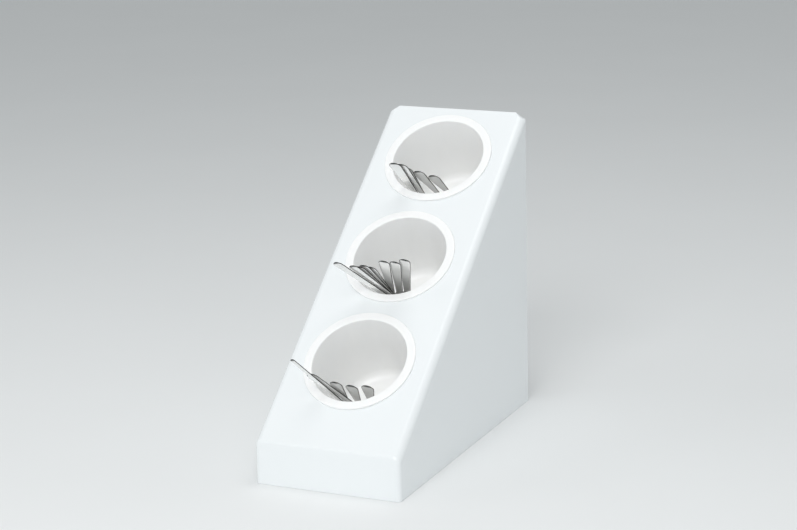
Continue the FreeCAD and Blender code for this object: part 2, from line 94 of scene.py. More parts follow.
class Recipe:
    """A node material under construction, with short calls for the steps that finishes share."""

    def __init__(self, name: str) -> None:
        """Start an empty Principled material.

        Args:
            name: Name of the material.
        """
        self.material = bpy.data.materials.new(name)
        self.material.use_nodes = True
        self.tree = self.material.node_tree
        self.surface = self.tree.nodes["Principled BSDF"]

    def add(self, kind: str, **settings: object) -> bpy.types.Node:
        """Add a node and set its properties.

        Args:
            kind: Blender's identifier of the node.
            settings: Properties of the node, by name.

        Returns:
            The new node.
        """
        node = self.tree.nodes.new(kind)
        for name, value in settings.items():
            setattr(node, name, value)
        return node

    def join(self, source: bpy.types.NodeSocket, target: bpy.types.NodeSocket) -> None:
        """Link one socket to another."""
        self.tree.links.new(source, target)

    def coordinates(self, space: str, scale: Colour = (1.0, 1.0, 1.0),
                    place: Vector | None = None, tilt: float = 0.0) -> bpy.types.NodeSocket:
        """Read coordinates through a Mapping node.

        Args:
            space: Output of the Texture Coordinate node, such as Object or UV.
            scale: Stretch of the pattern along each axis.
            place: Point that becomes the pattern's middle.
            tilt: Turn about X that the pattern follows, in radians.

        Returns:
            The mapped coordinates.
        """
        read = self.add("ShaderNodeTexCoord")
        mapping = self.add("ShaderNodeMapping", vector_type="TEXTURE" if place else "POINT")
        if place:
            mapping.inputs["Location"].default_value = place
            mapping.inputs["Rotation"].default_value = (tilt, 0.0, 0.0)
        mapping.inputs["Scale"].default_value = scale
        self.join(read.outputs[space], mapping.inputs["Vector"])
        return mapping.outputs["Vector"]

    def noise(self, where: bpy.types.NodeSocket, grain: Grain) -> bpy.types.NodeSocket:
        """Add a noise pattern.

        Args:
            where: Coordinates that the pattern follows.
            grain: How fine it is.

        Returns:
            The noise's value.
        """
        noise = self.add("ShaderNodeTexNoise")
        noise.inputs["Scale"].default_value = grain.scale
        noise.inputs["Detail"].default_value = grain.detail
        self.join(where, noise.inputs["Vector"])
        return noise.outputs["Fac"]

    def spread(self, value: bpy.types.NodeSocket, low: float = 0.0,
               high: float = 1.0) -> bpy.types.NodeSocket:
        """Map the span of a noise to a span of values.

        Args:
            value: The noise.
            low: Result where the noise is weakest.
            high: Result where it is strongest.

        Returns:
            The mapped value.
        """
        ranged = self.add("ShaderNodeMapRange")
        least, most = NOISE_SPAN
        ends = {"From Min": least, "From Max": most, "To Min": low, "To Max": high}
        for name, amount in ends.items():
            ranged.inputs[name].default_value = amount
        self.join(value, ranged.inputs["Value"])
        return ranged.outputs["Result"]

    def tint(self, share: bpy.types.NodeSocket, first: Colour, second: Colour) -> None:
        """Colour the surface between two tones.

        Args:
            share: Share of the second tone.
            first: Linear colour where the share is 0.
            second: Linear colour where it is 1.
        """
        mix = self.add("ShaderNodeMix", data_type="RGBA")
        mix.inputs["A"].default_value = (*first, 1.0)
        mix.inputs["B"].default_value = (*second, 1.0)
        self.join(share, mix.inputs["Factor"])
        self.join(mix.outputs["Result"], self.surface.inputs["Base Color"])

    def gloss(self, value: bpy.types.NodeSocket, roughness: Point) -> None:
        """Vary the roughness with a noise.

        Args:
            value: The noise.
            roughness: Roughness where it is weakest and where it is strongest.
        """
        self.join(self.spread(value, *roughness), self.surface.inputs["Roughness"])

    def relief(self, height: bpy.types.NodeSocket, depth: float) -> None:
        """Bump the surface, on top of any bump it already has.

        Args:
            height: Height pattern, 0 to 1.
            depth: Height of the pattern in metres.
        """
        bump = self.add("ShaderNodeBump")
        bump.inputs["Distance"].default_value = depth
        self.join(height, bump.inputs["Height"])
        normal = self.surface.inputs["Normal"]
        if normal.is_linked:
            self.join(normal.links[0].from_socket, bump.inputs["Normal"])
        self.join(bump.outputs["Normal"], normal)


@dataclass(frozen=True)
class OpalFinish:
    """White opal sheet: glossy, with the faint clouding and uneven gloss of cast plastic."""

    colour: Colour = (0.85, 0.88, 0.89)
    cloudier: Colour = (0.86, 0.885, 0.895)
    clouds: Grain = Grain(4.0, 1.0)
    roughness: Point = (0.17, 0.26)
    sheen: Grain = Grain(9.0, 1.0)
    ior: float = 1.49

    def material(self) -> bpy.types.Material:
        """Make the sheet's material.

        Returns:
            The material.
        """
        recipe = Recipe("opal_sheet")
        where = recipe.coordinates("Object")
        clouds = recipe.spread(recipe.noise(where, self.clouds))
        recipe.tint(clouds, self.colour, self.cloudier)
        recipe.gloss(recipe.noise(where, self.sheen), self.roughness)
        recipe.surface.inputs["IOR"].default_value = self.ior
        return recipe.material


@dataclass(frozen=True)
class CupFinish:
    """Moulded cup: warm white and satin, with the fine turning marks of its mould."""

    colour: Colour = (0.98, 0.98, 0.972)
    shaded: Colour = (0.968, 0.967, 0.957)
    tones: Grain = Grain(22.0)
    roughness: Point = (0.29, 0.38)
    sheen: Grain = Grain(60.0, 4.0)
    ring_scale: float = 260.0
    ring_waver: float = 0.4
    ring_depth: float = 0.004 * MM
    ior: float = 1.5
    scatter: float = 0.3
    scatter_tint: Colour = (1.0, 0.97, 0.92)
    scatter_depth: float = 5.0 * MM

    def material(self, cup: str, middle: Vector, tilt: float) -> bpy.types.Material:
        """Make one cup's material, whose marks run round the cup's own axis.

        Args:
            cup: Name of the cup.
            middle: Middle of the cup's mouth.
            tilt: Turn of the cup's axis about X.

        Returns:
            The cup's material.
        """
        recipe = Recipe(f"{cup}_plastic")
        where = recipe.coordinates("Object", place=middle, tilt=tilt)
        recipe.tint(recipe.spread(recipe.noise(where, self.tones)), self.colour, self.shaded)
        recipe.gloss(recipe.noise(where, self.sheen), self.roughness)
        rings = recipe.add("ShaderNodeTexWave", wave_type="RINGS", rings_direction="Z")
        rings.inputs["Scale"].default_value = self.ring_scale
        rings.inputs["Distortion"].default_value = self.ring_waver
        recipe.join(where, rings.inputs["Vector"])
        recipe.relief(rings.outputs["Fac"], self.ring_depth)
        surface = recipe.surface.inputs
        surface["IOR"].default_value = self.ior
        surface["Subsurface Weight"].default_value = self.scatter
        surface["Subsurface Radius"].default_value = self.scatter_tint
        surface["Subsurface Scale"].default_value = self.scatter_depth
        return recipe.material


@dataclass(frozen=True)
class SteelFinish:
    """Polished stainless steel with the fine lengthwise scratches of much washing, and a
    near-black painted reflection and shade on the edges and ends of each piece.
    """

    colour: Colour = (0.95, 0.945, 0.93)
    # Near-black painted reflection and shade, laid on each piece's edges and ends through its
    # "rim" attribute; the random patches also lean a little towards it.
    edge: Colour = (0.02, 0.02, 0.019)
    patches: Grain = Grain(45.0, 5.0)
    patch_share: float = 0.14
    roughness: Point = (0.15, 0.26)
    stretch: Colour = (1.0, 26.0, 1.0)
    scratches: Grain = Grain(70.0, 6.0)
    grooves: Grain = Grain(110.0, 4.0)
    groove_depth: float = 0.006 * MM
    waves: Grain = Grain(60.0, 1.0)
    wave_depth: float = 0.02 * MM
    metallic: float = 0.5

    def material(self) -> bpy.types.Material:
        """Make the steel's material.

        Returns:
            The material.
        """
        recipe = Recipe("polished_steel")
        length_wise = recipe.coordinates("UV", scale=self.stretch)
        even = recipe.coordinates("UV")
        # The "rim" attribute paints the dark reflection and shade on the edges and ends; random
        # patches darken the faces a little.
        rim = recipe.add("ShaderNodeAttribute", attribute_name="rim")
        patchy = recipe.spread(recipe.noise(even, self.patches), 0.0, self.patch_share)
        share = recipe.add("ShaderNodeMath", operation="MAXIMUM")
        recipe.join(rim.outputs["Fac"], share.inputs[0])
        recipe.join(patchy, share.inputs[1])
        recipe.tint(share.outputs["Value"], self.colour, self.edge)
        recipe.gloss(recipe.noise(length_wise, self.scratches), self.roughness)
        recipe.relief(recipe.noise(length_wise, self.grooves), self.groove_depth)
        recipe.relief(recipe.noise(even, self.waves), self.wave_depth)
        recipe.surface.inputs["Metallic"].default_value = self.metallic
        return recipe.material


@dataclass(frozen=True)
class TableFinish:
    """Pale matt table top."""

    colour: Colour = (0.85, 0.86, 0.86)
    mottled: Colour = (0.87, 0.88, 0.88)
    mottling: Grain = Grain(3.0, 4.0)
    tooth: Grain = Grain(250.0, 2.0)
    tooth_depth: float = 0.04 * MM
    roughness: float = 0.75
    specular: float = 0.15

    def material(self) -> bpy.types.Material:
        """Make the table's material.

        Returns:
            The material.
        """
        recipe = Recipe("table_top")
        where = recipe.coordinates("Object")
        mottling = recipe.spread(recipe.noise(where, self.mottling))
        recipe.tint(mottling, self.colour, self.mottled)
        recipe.relief(recipe.noise(where, self.tooth), self.tooth_depth)
        recipe.surface.inputs["Roughness"].default_value = self.roughness
        recipe.surface.inputs["Specular IOR Level"].default_value = self.specular
        return recipe.material


# Mesh tools


def poured(work: bmesh.types.BMesh, name: str) -> bpy.types.Mesh:
    """Turn a mesh under construction into a finished one.

    Args:
        work: Mesh under construction, which is freed.
        name: Name of the finished mesh.

    Returns:
        The finished mesh.
    """
    mesh = bpy.data.meshes.new(name)
    work.to_mesh(mesh)
    work.free()
    return mesh


def place(name: str, mesh: bpy.types.Mesh) -> bpy.types.Object:
    """Put a mesh in the scene as an object at the origin.

    Args:
        name: Name of the object.
        mesh: Its mesh.

    Returns:
        The object.
    """
    piece = bpy.data.objects.new(name, mesh)
    bpy.context.scene.collection.objects.link(piece)
    return piece


def settle(piece: bpy.types.Object, name: str) -> bpy.types.Object:
    """Turn a piece and its modifiers into a plain mesh at the origin.

    Args:
        piece: Object with modifiers, which is removed.
        name: Name of the finished object.

    Returns:
        The finished object.
    """
    bpy.context.view_layer.update()
    graph = bpy.context.evaluated_depsgraph_get()
    mesh = bpy.data.meshes.new_from_object(piece.evaluated_get(graph))
    mesh.name = name
    bpy.data.objects.remove(piece)
    return place(name, mesh)


def finish_piece(piece: bpy.types.Object, node: str, material: bpy.types.Material,
                 stands_in: bool = True) -> None:
    """Dress a piece and let it ride on a node's body.

    Args:
        piece: The finished mesh object.
        node: CAD node whose body it rides on.
        material: Its material.
        stands_in: Whether the piece also takes the node's place.
    """
    piece.data.materials.clear()
    piece.data.materials.append(material)
    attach(piece, node)
    if stands_in:
        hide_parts(node)
    log.info("%s: %d faces on body %s", piece.name, len(piece.data.polygons), node)


class Tree:
    """A Geometry Nodes tree under construction, with named inputs for its sizes."""

    def __init__(self, name: str, inputs: dict[str, str]) -> None:
        """Start a tree that takes and gives geometry.

        Args:
            name: Name of the tree.
            inputs: Socket type of each named input.
        """
        self.group = bpy.data.node_groups.new(name, "GeometryNodeTree")
        face = self.group.interface
        face.new_socket("Geometry", in_out="INPUT", socket_type="NodeSocketGeometry")
        self.keys = {
            label: face.new_socket(label, in_out="INPUT", socket_type=kind).identifier
            for label, kind in inputs.items()
        }
        face.new_socket("Geometry", in_out="OUTPUT", socket_type="NodeSocketGeometry")
        self.given = self.group.nodes.new("NodeGroupInput").outputs
        self.result = self.group.nodes.new("NodeGroupOutput").inputs["Geometry"]

    def add(self, kind: str, inputs: dict[str | int, object] | None = None,
            **settings: object) -> bpy.types.Node:
        """Add a node, set its properties and feed its inputs.

        Args:
            kind: Blender's identifier of the node.
            inputs: Value or output socket for each input.
            settings: Properties of the node, by name.

        Returns:
            The new node.
        """
        node = self.group.nodes.new(kind)
        for name, value in settings.items():
            setattr(node, name, value)
        for key, value in (inputs or {}).items():
            if isinstance(value, bpy.types.NodeSocket):
                self.group.links.new(value, node.inputs[key])
            else:
                node.inputs[key].default_value = value
        return node

    def math(self, operation: str, first: object, second: object = 0.0) -> bpy.types.NodeSocket:
        """Add a Math node and return its value."""
        node = self.add("ShaderNodeMath", {0: first, 1: second}, operation=operation)
        return node.outputs["Value"]

    def close(self, geometry: bpy.types.NodeSocket) -> None:
        """End the tree in real, dressed geometry.

        Args:
            geometry: What the tree has made.
        """
        real = self.add("GeometryNodeRealizeInstances", {"Geometry": geometry})
        dressed = self.add("GeometryNodeSetMaterial", {"Geometry": real.outputs["Geometry"],
                                                       "Material": self.given["Finish"]})
        self.group.links.new(dressed.outputs["Geometry"], self.result)

    def run(self, mesh: bpy.types.Mesh, name: str, values: dict[str, object]) -> bpy.types.Object:
        """Run the tree on a mesh.

        Args:
            mesh: Geometry that the tree takes.
            name: Name of the finished object.
            values: Value of each named input.

        Returns:
            The result as a plain mesh object.
        """
        piece = place(f"{name}_blank", mesh)
        modifier = piece.modifiers.new(self.group.name, "NODES")
        modifier.node_group = self.group
        for label, value in values.items():
            modifier[self.keys[label]] = value
        return settle(piece, name)


# Stand


@dataclass
class Stand:
    """The bent opal sheet: its CAD shape with the softened edges of sawn and flamed plastic."""

    node: str = "stand"
    flatness: float = math.radians(0.4)
    edge_round: float = 0.6 * MM
    edge_steps: int = 3
    crease: float = math.radians(35.0)
    flat_weight: int = 100
    lip_front: float = -3.0 * MM
    lip_gap: Point = (93.4 * MM, 94.0 * MM)
    bead_depth: Point = (0.22 * MM, 5.5 * MM)
    bead_heights: Point = (0.4 * MM, 40.1 * MM)
    bead_steps: int = 5

    def shaped(self) -> bpy.types.Object:
        """Round the edges of a merged copy of the CAD shape.

        Returns:
            The finished sheet.
        """
        mesh = frame["nodes"][self.node].data.copy()
        work = bmesh.new()
        work.from_mesh(mesh)
        bmesh.ops.remove_doubles(work, verts=work.verts, dist=MERGE)
        bmesh.ops.dissolve_limit(work, angle_limit=self.flatness, verts=work.verts,
                                 edges=work.edges)
        work.to_mesh(mesh)
        work.free()
        piece = place("stand_blank", mesh)
        bevel = piece.modifiers.new("edge_round", "BEVEL")
        bevel.width = self.edge_round
        bevel.segments = self.edge_steps
        bevel.limit_method = "ANGLE"
        bevel.angle_limit = self.crease
        flats = piece.modifiers.new("flats", "WEIGHTED_NORMAL")
        flats.weight = self.flat_weight
        return settle(piece, "stand_sheet")

    def bead_section(self) -> list[Point]:
        """Draw one bead from above: a stem in the gap and a front that fills its rounded edges.

        Returns:
            The bead's outline.
        """
        front, back = self.bead_depth
        inner, outer = self.lip_gap
        first = math.acos(1.0 - front / self.edge_round)
        turns = [first + (math.pi / 2 - first) * step / self.bead_steps
                 for step in range(self.bead_steps + 1)]
        flare = [(self.edge_round * (1.0 - math.sin(a)), self.edge_round * (1.0 - math.cos(a)))
                 for a in turns]
        left = [(inner - x, y) for x, y in flare]
        right = [(outer + x, y) for x, y in reversed(flare)]
        outline = [*left, (inner, back), (outer, back), *right]
        return [(x, self.lip_front + y) for x, y in outline]

    def beads(self) -> bpy.types.Object:
        """Make the two beads of cement that close the gaps at the lip's ends.

        Returns:
            Both beads as one object.
        """
        outline = self.bead_section()
        count = len(outline)
        points, faces = [], []
        for sign, ring in ((-1.0, outline), (1.0, outline[::-1])):
            foot = len(points)
            top = foot + count
            points += [(sign * x, y, z) for z in self.bead_heights for x, y in ring]
            faces += [range(top - 1, foot - 1, -1), range(top, top + count)]
            for step in range(count):
                after = (step + 1) % count
                faces.append((foot + step, foot + after, top + after, top + step))
        mesh = bpy.data.meshes.new("lip_beads")
        mesh.from_pydata(points, [], faces)
        return place("lip_beads", mesh)

    def build(self) -> None:
        """Make and dress the sheet and its beads."""
        material = OpalFinish().material()
        finish_piece(self.shaped(), self.node, material)
        finish_piece(self.beads(), self.node, material, stands_in=False)


# Cups


@dataclass
class CupForm:
    """The turned form that the three cups share, as a tree that sweeps its section round."""

    mouth: float = 63.0 * MM
    floor: float = 57.0 * MM
    depth: float = 112.0 * MM
    wall: float = 2.5 * MM
    corner: float = 12.0 * MM
    flange: float = 11.5 * MM
    flange_gauge: float = 3.0 * MM
    flange_root: float = 0.3 * MM
    lip_round: float = 1.2 * MM
    under_round: float = 0.4 * MM
    throat_round: float = 1.6 * MM
    foot_round: float = 14.5 * MM
    corner_steps: int = 12
    throat_steps: int = 8
    lip_steps: int = 6
    under_steps: int = 3
    steps: int = 160

    def rounded(self, middle: Point, radius: float, start: float, end: float,
                count: int) -> list[Point]:
        """Draw an arc in the section.

        Args:
            middle: Centre of the arc, as radius and height.
            radius: Radius of the arc.
            start: First angle in degrees.
            end: Last angle in degrees.
            count: Number of steps.

        Returns:
            The arc's points.
        """
        angles = [math.radians(start + (end - start) * step / count) for step in range(count + 1)]
        return [(middle[0] + radius * math.cos(a), middle[1] + radius * math.sin(a))
                for a in angles]

    def section(self) -> list[Point]:
        """Draw the half section, from the inside of the floor out to its underside.

        Returns:
            The section's points, as radius and height.
        """
        lean = (self.mouth - self.floor) / self.depth
        foot = -self.depth - self.wall
        rim = self.mouth + self.flange
        draft = math.degrees(math.atan(lean))
        inner_x = self.floor - self.corner + lean * self.corner
        outer_x = self.floor + self.wall - self.foot_round + lean * self.foot_round
        inner_corner = (inner_x, -self.depth + self.corner)
        throat = (self.mouth + self.throat_round, -self.throat_round)
        lip = (rim - self.lip_round, -self.lip_round)
        under = (rim - self.under_round, -self.flange_gauge + self.under_round)
        return [
            (0.0, -self.depth),
            (inner_x * 0.5, -self.depth),
            *self.rounded(inner_corner, self.corner, -90.0, -draft, self.corner_steps),
            ((self.mouth + self.floor) / 2, -self.depth / 2),
            *self.rounded(throat, self.throat_round, 180.0 - draft, 90.0, self.throat_steps),
            (self.mouth + self.flange * 0.5, 0.0),
            *self.rounded(lip, self.lip_round, 90.0, 0.0, self.lip_steps),
            *self.rounded(under, self.under_round, 0.0, -90.0, self.under_steps),
            (self.mouth + self.wall + self.flange_root, -self.flange_gauge),
            ((self.mouth + self.floor) / 2 + self.wall, -self.depth / 2),
            *self.rounded((outer_x, foot + self.foot_round), self.foot_round, -draft, -90.0,
                          self.corner_steps),
            (outer_x * 0.5, foot),
            (0.0, foot),
        ]

    def section_mesh(self) -> bpy.types.Mesh:
        """Make the half section a line of points in the XZ plane.

        Returns:
            The line as a mesh.
        """
        points = self.section()
        mesh = bpy.data.meshes.new("cup_section")
        links = [(i, i + 1) for i in range(len(points) - 1)]
        mesh.from_pydata([(x, 0.0, z) for x, z in points], links, [])
        return mesh

    def tree(self) -> Tree:
        """Build the tree that sweeps a section about its axis and sets it in place.

        Returns:
            The tree.
        """
        tree = Tree("turned_form", {"Steps": "NodeSocketInt", "Points": "NodeSocketInt",
                                    "Tilt": "NodeSocketFloat", "Mouth": "NodeSocketVector",
                                    "Finish": "NodeSocketMaterial"})
        given = tree.given
        rows = tree.math("ADD", given["Steps"], 1.0)
        grid = tree.add("GeometryNodeMeshGrid",
                        {"Vertices X": rows, "Vertices Y": given["Points"]})
        index = tree.add("GeometryNodeInputIndex").outputs["Index"]
        along = tree.math("MODULO", index, given["Points"])
        # The half keeps the row's number clear of rounding.
        inside = tree.math("DIVIDE", tree.math("ADD", index, 0.5), given["Points"])
        row = tree.math("FLOOR", inside)
        angle = tree.math("DIVIDE", tree.math("MULTIPLY", row, math.tau), given["Steps"])
        position = tree.add("GeometryNodeInputPosition").outputs["Position"]
        sample = tree.add("GeometryNodeSampleIndex", {"Geometry": given["Geometry"],
                                                      "Value": position, "Index": along},
                          data_type="FLOAT_VECTOR")
        swung = tree.add("ShaderNodeVectorRotate",
                         {"Vector": sample.outputs["Value"], "Angle": angle},
                         rotation_type="Z_AXIS")
        swept = tree.add("GeometryNodeSetPosition", {"Geometry": grid.outputs["Mesh"],
                                                     "Position": swung.outputs["Vector"]})
        merged = tree.add("GeometryNodeMergeByDistance",
                          {"Geometry": swept.outputs["Geometry"], "Distance": MERGE})
        smooth = tree.add("GeometryNodeSetShadeSmooth", {"Geometry": merged.outputs["Geometry"]})
        turned = tree.add("ShaderNodeCombineXYZ", {"X": given["Tilt"]})
        seated = tree.add("GeometryNodeTransform",
                          {"Geometry": smooth.outputs["Geometry"], "Translation": given["Mouth"],
                           "Rotation": turned.outputs["Vector"]})
        tree.close(seated.outputs["Geometry"])
        return tree


@dataclass
class CupRack:
    """The three cups, from the lowest up."""

    mouths: dict[str, Vector] = field(default_factory=lambda: {
        "cup_low": Vector((0.0, 99.4, 143.5)) * MM,
        "cup_middle": Vector((0.0, 230.2, 248.9)) * MM,
        "cup_top": Vector((0.0, 361.0, 354.4)) * MM,
    })
    form: CupForm = field(default_factory=CupForm)

    def build(self) -> None:
        """Make and dress the three cups."""
        tree = self.form.tree()
        tilt = math.atan2(UP_SLOPE.z, UP_SLOPE.y)
        for cup, middle in self.mouths.items():
            material = CupFinish().material(cup, middle, tilt)
            piece = tree.run(self.form.section_mesh(), f"{cup}_turned", {
                "Steps": self.form.steps, "Points": len(self.form.section()),
                "Tilt": tilt, "Mouth": middle, "Finish": material})
            self.face_out(piece)
            finish_piece(piece, cup, material)

    def face_out(self, piece: bpy.types.Object) -> None:
        """Turn all faces of a closed piece outwards.

        Args:
            piece: The piece.
        """
        work = bmesh.new()
        work.from_mesh(piece.data)
        bmesh.ops.recalc_face_normals(work, faces=work.faces)
        work.to_mesh(piece.data)
        work.free()


# Cutlery


@dataclass
class Seat:
    """Where one piece of cutlery lies: its handle's direction, its faces and its length."""

    origin: Vector
    along: Vector
    side: Vector
    normal: Vector
    length: float

    @staticmethod
    def facing(mesh: bpy.types.Mesh) -> Vector:
        """Find which way the flat of a piece looks.

        Args:
            mesh: Mesh of the CAD node.

        Returns:
            The summed normals of its largest set of faces that look one way.
        """
        fineness = 200
        mesh.calc_loop_triangles()
        faces: dict[tuple[int, ...], Vector] = {}
        for triangle in mesh.loop_triangles:
            facing = Vector(triangle.normal)
            if facing.dot(UP_SLOPE) < 0:
                facing = -facing
            key = tuple(round(part * fineness) for part in facing)
            faces[key] = faces.get(key, Vector()) + facing * triangle.area
        return max(faces.values(), key=lambda total: total.length)

    @classmethod
    def of(cls, node: str) -> "Seat":
        """Read a seat from the CAD node and from the joint that pulls it.

        Args:
            node: Name of the piece's node.

        Returns:
            The seat.
        """
        axes = (Vector(joint["axis"]) for joint in frame["joints"] if joint["child"] == node)
        along = next(axes).normalized()
        mesh = frame["nodes"][node].data
        flat = cls.facing(mesh)
        normal = (flat - along * flat.dot(along)).normalized()
        side = normal.cross(along)
        spans = []
        for axis in (along, side, normal):
            reads = [axis.dot(v.co) for v in mesh.vertices]
            spans.append((min(reads), max(reads)))
        middle = side * sum(spans[1]) / 2
        origin = along * spans[0][0] + middle + normal * sum(spans[2]) / 2
        return cls(origin, along, side, normal, spans[0][1] - spans[0][0])

    def matrix(self) -> Matrix:
        """Return the turn and shift from the piece's own axes to the dispenser's."""
        turn = Matrix((self.along, self.side, self.normal)).transposed().to_4x4()
        return Matrix.Translation(self.origin) @ turn


@dataclass(frozen=True)
class Eased:
    """A smooth line through key values, in order, whose corners are rounded over a window."""

    keys: list[Point]
    window: float = 5.0 * MM
    half_reads: int = 3

    def straight(self, x: float) -> float:
        """Read the line before it is rounded.

        Args:
            x: Place along the piece.

        Returns:
            The value there.
        """
        for (x0, y0), (x1, y1) in zip(self.keys, self.keys[1:]):
            if x <= x1:
                return y0 + (y1 - y0) * max(0.0, x - x0) / (x1 - x0)
        return self.keys[-1][1]

    def __call__(self, x: float) -> float:
        """Read the rounded line.

        Args:
            x: Place along the piece.

        Returns:
            The mean of the values in the window about that place.
        """
        half = self.half_reads
        reach = max(0.0, min(self.window, x - self.keys[0][0], self.keys[-1][0] - x))
        reads = [self.straight(x + reach * i / half) for i in range(-half, half + 1)]
        return sum(reads) / len(reads)


@dataclass(frozen=True)
class RoundEnd:
    """A cap on a half width that closes it in a half circle, with its tip at end."""

    half: float
    end: float

    def __call__(self, x: float) -> float:
        """Return the greatest half width at a place."""
        into = self.half - (self.end - x)
        return math.sqrt(max(self.half ** 2 - into ** 2, 0.0)) if into > 0 else self.half


def keyed(shape: tuple[Point, ...], length: float, size: float) -> list[Point]:
    """Return keys from shares of a length and of a size."""
    return [(x * length, y * size) for x, y in shape]


@dataclass
class Bar:
    """A length of shaped steel: where its edges run, how thick it is, how its faces bow and how
    much painted dark reflection and shade its rims take.
    """

    start: float
    end: float
    edge: Rule
    gauge: Rule
    low_edge: Rule | None = None
    dish: Rule = lambda x: 0.0
    bevel: Rule = lambda x: 0.0
    step: float = 1.2 * MM
    least_steps: int = 8
    end_places: tuple[float, ...] = (0.0, 0.02, 0.08, 0.2, 0.4, 0.7, 1.1, 1.6, 2.3)
    end_round: float = 1.2 * MM
    end_flat: float = 0.15
    ring: int = 28
    squareness: float = 0.55
    crown: float = 0.8
    dish_curve: float = 1.4
    # How far the painted dark reflection and shade reach in from the end and in from the sides.
    painted_end_reflection_reach: float = 3.2 * MM
    painted_side_reflection_from: float = 0.87
    painted_side_reflection_blend: float = 0.07

    def stations(self) -> list[float]:
        """Set out the bar's sections, closer together near its ends.

        Returns:
            Their places along the bar.
        """
        count = max(self.least_steps, round((self.end - self.start) / self.step))
        fine = self.end_places
        reach = min(fine[-1] * MM, (self.end - self.start) / 4)
        heads = [self.start + reach * f / fine[-1] for f in fine]
        tails = [self.end - reach * f / fine[-1] for f in reversed(fine)]
        inner = self.end - self.start - 2 * reach
        between = [self.start + reach + inner * i / count for i in range(1, count)]
        return heads + between + tails

    def end_share(self, x: float) -> float:
        """Round the bar off at both ends.

        Args:
            x: Place along the bar.

        Returns:
            Share of the full thickness there.
        """
        near = min(x - self.start, self.end - x)
        if near >= self.end_round:
            return 1.0
        quarter = math.sqrt(max(0.0, 1.0 - (1.0 - near / self.end_round) ** 2))
        return max(self.end_flat, quarter)

    def ring_points(self, x: float) -> list[Vector]:
        """Draw one closed section of the bar.

        Args:
            x: Place along the bar.

        Returns:
            The section's points, round from the high edge.
        """
        high = self.edge(x)
        low = self.low_edge(x) if self.low_edge else -high
        middle, half = (low + high) / 2, (high - low) / 2
        thick = self.gauge(x) / 2 * self.end_share(x)
        points = []
        for number in range(self.ring):
            angle = math.tau * number / self.ring
            cosine, sine = math.cos(angle), math.sin(angle)
            across = math.copysign(abs(cosine) ** self.squareness, cosine)
            rise = math.copysign(abs(sine) ** self.crown, sine)
            thin = 1.0 - self.bevel(x) * (1.0 - across) / 2
            height = thick * rise * thin
            if rise > 0:
                height -= self.dish(x) * (1.0 - across ** 2) ** self.dish_curve
            points.append(Vector((x, middle + half * across, height)))
        return points

    def painted_reflection_share(self, x: float, number: int) -> float:
        """Tell how much painted dark reflection and shade a point of a section takes, on its
        edges and near the end.

        Args:
            x: Place along the bar.
            number: Number of the point in its section.

        Returns:
            0 on the faces, 1 on the rim, which is painted near-black as reflection and shade.
        """
        across = abs(math.cos(math.tau * number / self.ring)) ** self.squareness
        near = min(1.0, (self.end - x) / self.painted_end_reflection_reach)
        sides = min(1.0, max(0.0, (across - self.painted_side_reflection_from) / self.painted_side_reflection_blend))
        return max(sides, (1.0 - near) ** 0.5)

    def into(self, work: bmesh.types.BMesh) -> None:
        """Add the bar to a mesh, closed at both ends.

        Args:
            work: Mesh that takes the bar.
        """
        # The "rim" attribute carries each point's share of painted dark reflection and shade to
        # the steel.
        rim = work.verts.layers.float.get("rim") or work.verts.layers.float.new("rim")
        rings = []
        for x in self.stations():
            ring = [work.verts.new(p) for p in self.ring_points(x)]
            for number, point in enumerate(ring):
                point[rim] = self.painted_reflection_share(x, number)
            rings.append(ring)
        for first, second in zip(rings, rings[1:]):
            for number in range(self.ring):
                after = (number + 1) % self.ring
                work.faces.new((first[number], first[after], second[after], second[number]))
        work.faces.new(rings[0])
        work.faces.new(list(reversed(rings[-1])))


@dataclass
class Cutlery:
    """One piece of table cutlery, drawn along X from its head and laid into its seat."""

    node: str
    finish: bpy.types.Material
    gauge: float = 2.2 * MM
    thinning: tuple[Point, ...] = ((0.0, 0.85), (0.4, 1.0), (0.7, 1.0), (1.0, 0.82))
    neck: float = 3.0 * MM
    handle: float = 9.0 * MM
    least_half: float = 0.02 * MM

    def head_widths(self) -> list[Point]:
        """Return the key half widths of the head and neck."""
        raise NotImplementedError

    def head_round(self, x: float) -> float:
        """Return the greatest half width near the head's end, which has no round of its own."""
        return math.inf

    def width(self, length: float) -> Rule:
        """Draw the edge of the piece.

        Args:
            length: Length of the piece.

        Returns:
            The half width along it.
        """
        handle = [(length - self.handle, self.handle), (length, self.handle)]
        line = Eased([*self.head_widths(), *handle])
        tail = RoundEnd(self.handle, length)
        return lambda x: max(self.least_half, min(line(x), tail(x), self.head_round(x)))

    def thickness(self, length: float) -> Rule:
        """Return the gauge along the piece, which thins a little towards both ends."""
        return Eased(keyed(self.thinning, length, self.gauge))

    def bars(self, length: float) -> list[Bar]:
        """Return the bars that make the piece."""
        return [Bar(0.0, length, self.width(length), self.thickness(length))]

    def extras(self) -> list[bpy.types.Object]:
        """Return further parts of the piece, made elsewhere, which are joined to it."""
        return []

    def build(self) -> None:
        """Make the piece, lay it in its seat and dress it."""
        seat = Seat.of(self.node)
        work = bmesh.new()
        for bar in self.bars(seat.length):
            bar.into(work)
        for extra in self.extras():
            work.from_mesh(extra.data)
            bpy.data.objects.remove(extra)
        flat = work.loops.layers.uv.new("lengthwise")
        for face in work.faces:
            face.smooth = True
            for loop in face.loops:
                loop[flat].uv = loop.vert.co.xy
        bmesh.ops.recalc_face_normals(work, faces=work.faces)
        work.transform(seat.matrix())
        name = f"{self.node}_steel"
        finish_piece(place(name, poured(work, name)), self.node, self.finish)


